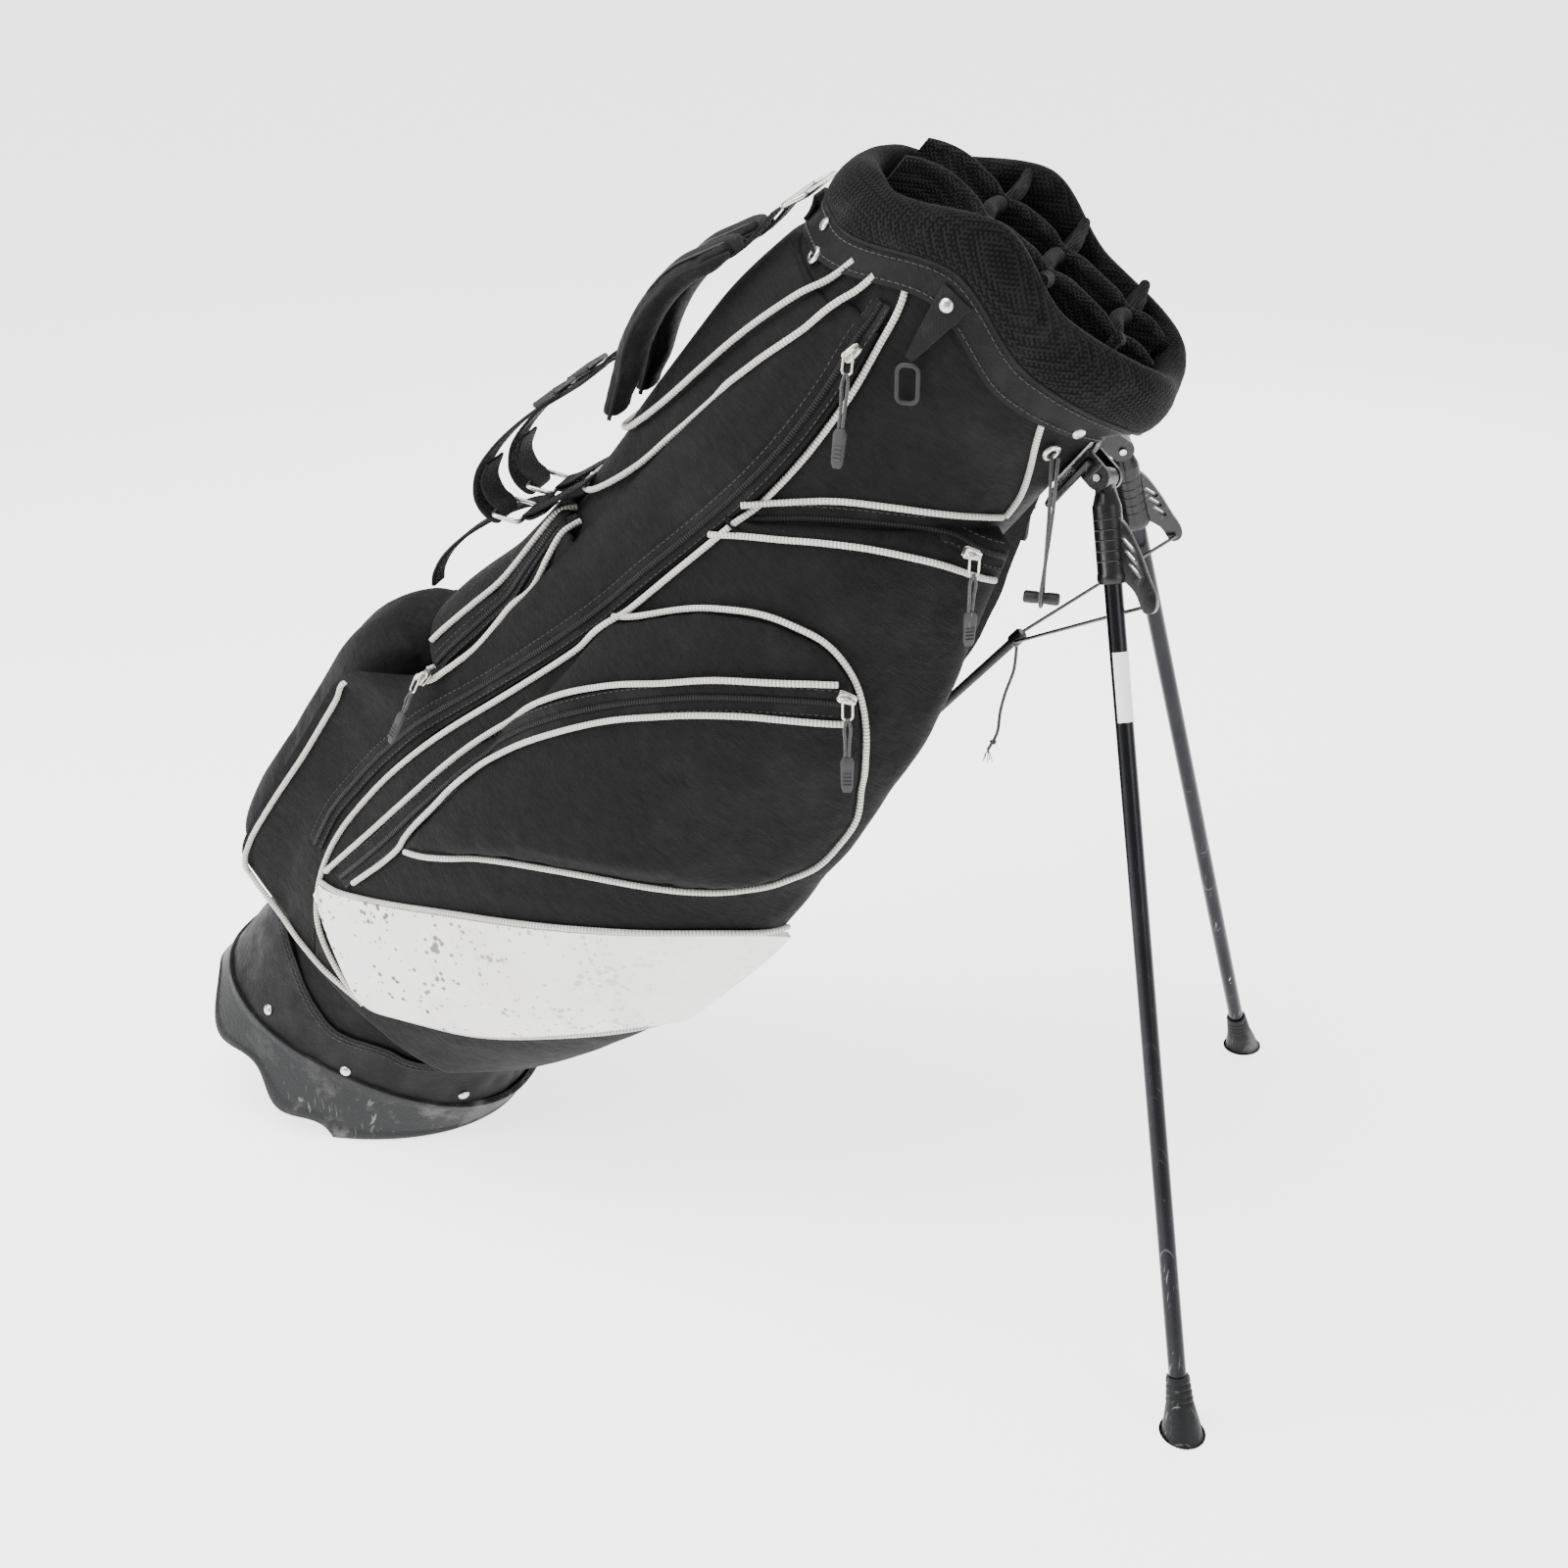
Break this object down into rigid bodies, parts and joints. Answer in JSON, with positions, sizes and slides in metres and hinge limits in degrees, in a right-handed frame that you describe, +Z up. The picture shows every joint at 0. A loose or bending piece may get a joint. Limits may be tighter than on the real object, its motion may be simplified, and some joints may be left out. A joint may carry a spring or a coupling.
{
  "type": "golf stand bag",
  "caption": "Golf stand bag with club dividers, zipped side and spine pockets, shoulder straps and two folding legs, standing open.",
  "frame": {"origin": "on the ground, under the middle of the box round the bag and its open legs", "axes": "+Z up; +X from the spine side towards the open legs; -Y is the near side with the D-shaped pocket"},
  "size_m": [0.8982, 0.5288, 0.8247],
  "materials": {
    "fabric": "woven nylon",
    "mesh": "padded spacer mesh",
    "vinyl_black": "satin vinyl",
    "vinyl_white": "scuffed vinyl",
    "rubber": "moulded rubber",
    "moulding": "moulded plastic",
    "padding": "moulded foam under fabric",
    "webbing": "woven webbing",
    "nickel": "nickel plate",
    "steel": "dark steel",
    "leg_metal": "dark anodised",
    "cord": "braided cord"
  },
  "bodies": {
    "bag": {"bag_shell": "fabric", "ball_pocket": "fabric", "base_band": "vinyl_black", "base_cup": "rubber", "base_panel_far": "vinyl_white", "base_panel_near": "vinyl_white", "collar_band": "vinyl_black", "collar_cuff": "mesh", "cross_divider_1": "mesh", "cross_divider_2": "mesh", "cross_divider_3": "mesh", "d_pocket_near": "fabric", "garment_pocket_far": "fabric", "garment_pocket_near": "fabric", "grab_handle": "webbing", "long_divider_far": "mesh", "long_divider_near": "mesh", "lower_web_far": "webbing", "lower_web_near": "webbing", "mouth_frame": "moulding", "pivot_pin_far": "steel", "pivot_pin_near": "steel", "rod_guide": "moulding", "shoulder_pad_far": "padding", "shoulder_pad_near": "padding", "side_pocket_far": "fabric", "side_pocket_near": "fabric", "spine_pocket": "fabric", "stand_head": "moulding", "stay_far": "moulding", "stay_near": "moulding", "towel_tab": "webbing", "triglide_far": "moulding", "triglide_near": "moulding", "umbrella_loop": "cord", "umbrella_toggle": "moulding", "upper_tab": "webbing", "zip_slider_d_pocket": "nickel", "zip_slider_garment": "nickel", "zip_slider_side_pocket": "nickel"},
    "leg_near": {"leg_yoke_near": "moulding", "leg_tube_near": "leg_metal", "foot_near": "rubber"},
    "leg_far": {"leg_yoke_far": "moulding", "leg_tube_far": "leg_metal", "foot_far": "rubber"},
    "wire_near": {"release_wire_near": "steel"},
    "wire_far": {"release_wire_far": "steel"},
    "release": {"release_rod": "moulding", "release_head": "moulding", "release_tail": "cord"},
    "towel_ring": {"towel_ring": "moulding"},
    "upper_ring": {"upper_ring": "nickel"},
    "lower_ring_near": {"lower_ring_near": "nickel"},
    "lower_ring_far": {"lower_ring_far": "nickel"},
    "spine_slider": {"zip_slider_spine_pocket": "nickel"},
    "pull_garment": {"zip_pull_garment": "moulding"},
    "pull_d_pocket": {"zip_pull_d_pocket": "moulding"},
    "pull_side_pocket": {"zip_pull_side_pocket": "moulding"},
    "pull_spine_pocket": {"zip_pull_spine_pocket": "moulding"}
  },
  "joints": [
    {"name": "leg_near_fold", "type": "hinge", "parent": "bag", "child": "leg_near", "pos_m": [0.30424, -0.039, 0.62765], "axis": [0.3115, 0.9186, -0.2434], "range_deg": [0, 52.13]},
    {"name": "leg_far_fold", "type": "hinge", "parent": "bag", "child": "leg_far", "pos_m": [0.30424, 0.039, 0.62765], "axis": [-0.3115, 0.9186, 0.2434], "range_deg": [0, 52.14]},
    {"name": "wire_near_swing", "type": "hinge", "parent": "leg_near", "child": "wire_near", "pos_m": [0.3469, -0.06854, 0.55183], "axis": [-0.4683, -0.879, -0.0897], "range_deg": [0, 74.22]},
    {"name": "wire_far_swing", "type": "hinge", "parent": "leg_far", "child": "wire_far", "pos_m": [0.3469, 0.06854, 0.55183], "axis": [0.4683, -0.879, 0.0897], "range_deg": [0, 74.22]},
    {"name": "release_slide", "type": "slide", "parent": "bag", "child": "release", "axis": [-0.6568, 0, -0.7541], "range_m": [0, 0.0705]},
    {"name": "towel_ring_swing", "type": "hinge", "parent": "bag", "child": "towel_ring", "pos_m": [0.181, -0.10311, 0.71232], "axis": [1, 0, 0], "range_deg": [-100, 0]},
    {"name": "upper_ring_swing", "type": "hinge", "parent": "bag", "child": "upper_ring", "pos_m": [0.09507, 0, 0.8027], "axis": [0, 1, 0], "range_deg": [-5, 60]},
    {"name": "lower_ring_near_swing", "type": "hinge", "parent": "bag", "child": "lower_ring_near", "pos_m": [-0.11949, -0.033, 0.55736], "axis": [0, 1, 0], "range_deg": [-10, 30]},
    {"name": "lower_ring_far_swing", "type": "hinge", "parent": "bag", "child": "lower_ring_far", "pos_m": [-0.11949, 0.033, 0.55736], "axis": [0, 1, 0], "range_deg": [-10, 30]},
    {"name": "spine_zip_slide", "type": "slide", "parent": "bag", "child": "spine_slider", "axis": [0.6284, -0.0316, 0.7773], "range_m": [0, 0.15]},
    {"name": "pull_garment_swing", "type": "hinge", "parent": "bag", "child": "pull_garment", "pos_m": [0.1437, -0.11155, 0.71941], "axis": [-0.9874, 0.158, 0], "range_deg": [0, 120]},
    {"name": "pull_d_pocket_swing", "type": "hinge", "parent": "bag", "child": "pull_d_pocket", "pos_m": [0.15847, -0.15429, 0.49338], "axis": [-0.9391, -0.3436, 0], "range_deg": [0, 120]},
    {"name": "pull_side_pocket_swing", "type": "hinge", "parent": "bag", "child": "pull_side_pocket", "pos_m": [0.23075, -0.10774, 0.5901], "axis": [-0.8243, -0.5662, 0], "range_deg": [0, 120]},
    {"name": "pull_spine_pocket_swing", "type": "hinge", "parent": "spine_slider", "child": "pull_spine_pocket", "pos_m": [-0.18689, -0.10056, 0.44651], "axis": [-0.7654, 0.6435, 0], "range_deg": [0, 120]}
  ],
  "couplings": [
    {"joint": "leg_far_fold", "follows": "leg_near_fold", "ratio": 1},
    {"joint": "wire_near_swing", "follows": "leg_near_fold", "ratio": 1.4236},
    {"joint": "wire_far_swing", "follows": "leg_near_fold", "ratio": 1.4236},
    {"joint": "release_slide", "follows": "leg_near_fold", "m_per_rad": 0.07725}
  ]
}
